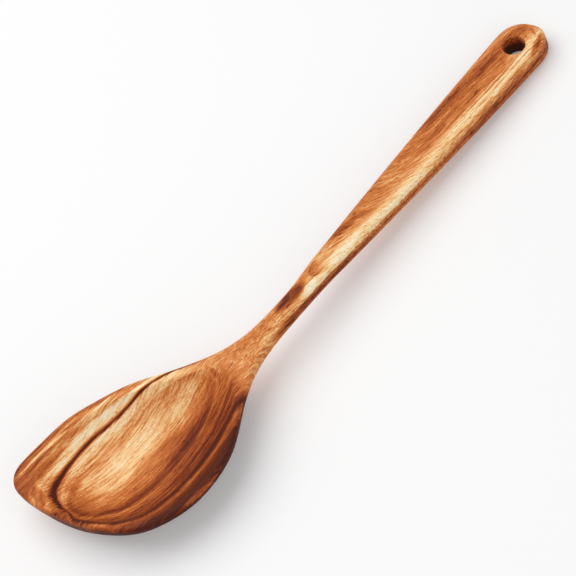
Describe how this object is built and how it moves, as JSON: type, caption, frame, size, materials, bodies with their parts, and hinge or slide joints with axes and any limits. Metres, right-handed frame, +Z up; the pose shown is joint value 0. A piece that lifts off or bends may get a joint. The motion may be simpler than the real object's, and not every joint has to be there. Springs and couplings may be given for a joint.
{
  "type": "wooden corner spoon",
  "caption": "Long-handled wooden cooking spoon with a teardrop bowl that comes to a corner, a shallow thumb scoop along the handle and a hanging hole.",
  "frame": {"origin": "on the ground, under the middle of the bounding box of the spoon lying on its back", "axes": "+X along the handle from the bowl to its round end, +Y towards the side that has the bowl's corner, +Z up out of the bowl"},
  "size_m": [0.3051, 0.0815, 0.0214],
  "materials": {
    "wood": "oiled and lightly polished, with fine open grain"
  },
  "bodies": {
    "root": {"spoon": "wood"}
  },
  "joints": []
}
